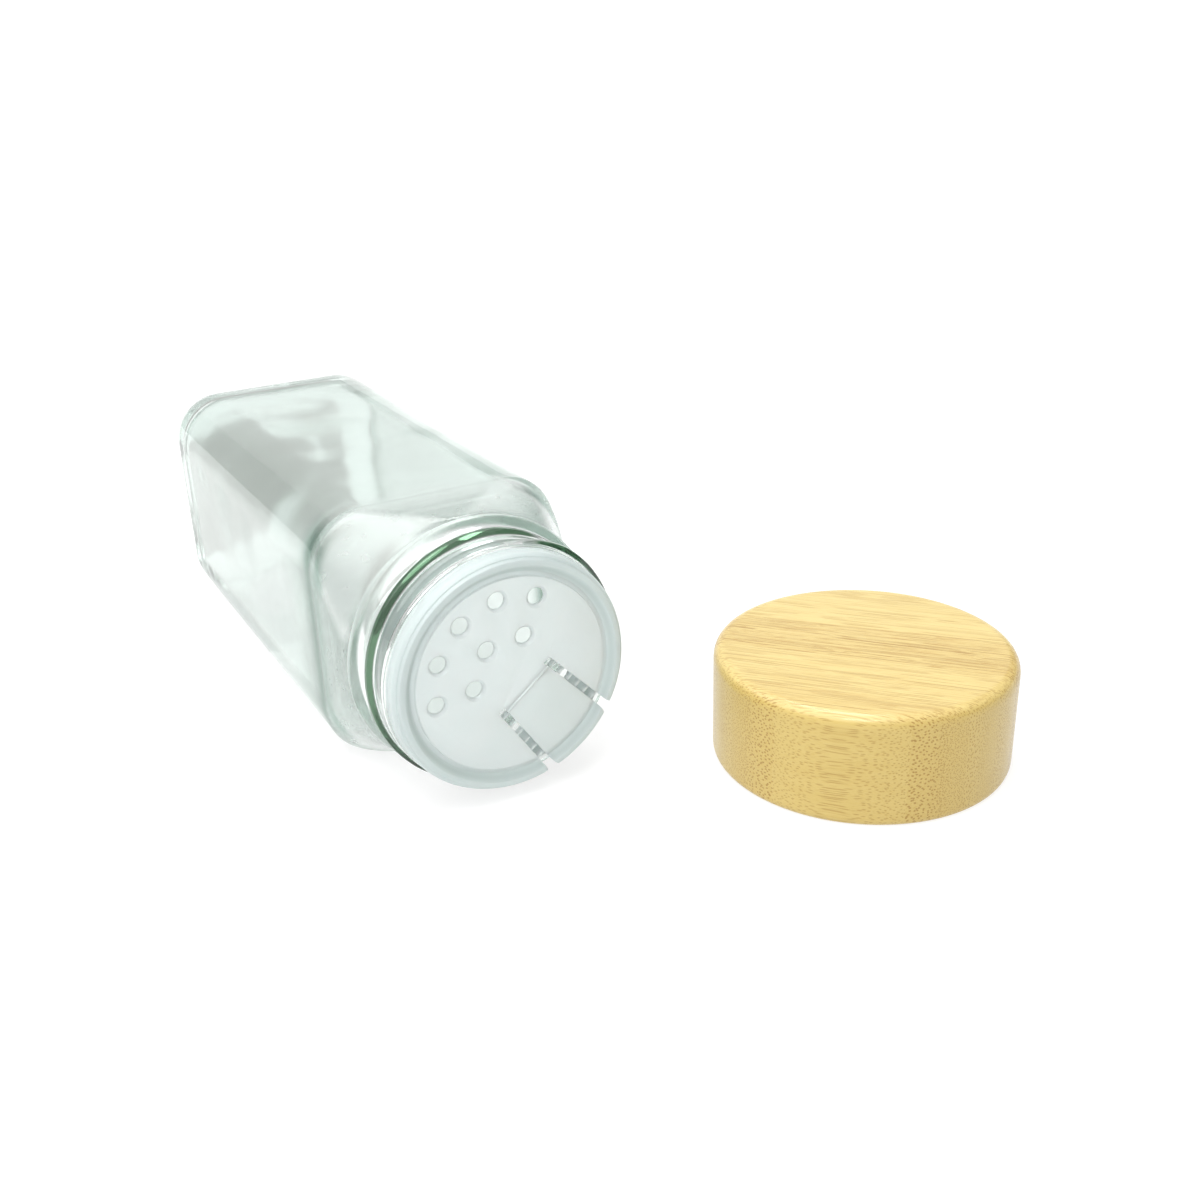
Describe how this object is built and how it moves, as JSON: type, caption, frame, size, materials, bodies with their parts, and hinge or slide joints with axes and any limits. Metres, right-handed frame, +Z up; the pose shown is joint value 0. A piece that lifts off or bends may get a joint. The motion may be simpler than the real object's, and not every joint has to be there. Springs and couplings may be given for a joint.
{
  "type": "salt shaker",
  "caption": "Square clear glass salt and spice jar lying on its side, with a plastic shaker insert, a hinged pour flap and a turned bamboo screw lid standing beside it.",
  "frame": {"origin": "middle of the flat side that the jar lies on", "axes": "+Z up, the jar's axis along Y with the mouth towards -Y and the base towards +Y, the lid on the +X side"},
  "size_m": [0.1002, 0.1542, 0.043],
  "materials": {
    "glass": "clear pressed soda glass with a faint green tint, polished",
    "insert_plastic": "natural translucent polypropylene, satin",
    "flap_plastic": "natural translucent polypropylene, satin",
    "bamboo": "turned laminated bamboo, clear satin lacquer",
    "liner_plastic": "white moulded polypropylene",
    "seal_foam": "white soft sealing disc, matte"
  },
  "bodies": {
    "jar": {"glass_jar": "glass"},
    "insert": {"shaker_insert": "insert_plastic"},
    "flap": {"pour_flap": "flap_plastic"},
    "lid": {"bamboo_lid": "bamboo", "thread_liner": "liner_plastic", "seal_disc": "seal_foam"}
  },
  "joints": [
    {"name": "insert_pull", "type": "slide", "parent": "jar", "child": "insert", "axis": [0, -1, 0], "range_m": [0, 0.03]},
    {"name": "flap_hinge", "type": "hinge", "parent": "insert", "child": "flap", "pos_m": [0.00241, -0.06655, 0.01844], "axis": [-0.7859, 0, -0.6184], "range_deg": [0, 120]},
    {"name": "lid_lift", "type": "slide", "parent": "jar", "child": "lid", "axis": [0, 0, 1], "range_m": [0, 0.08]}
  ]
}
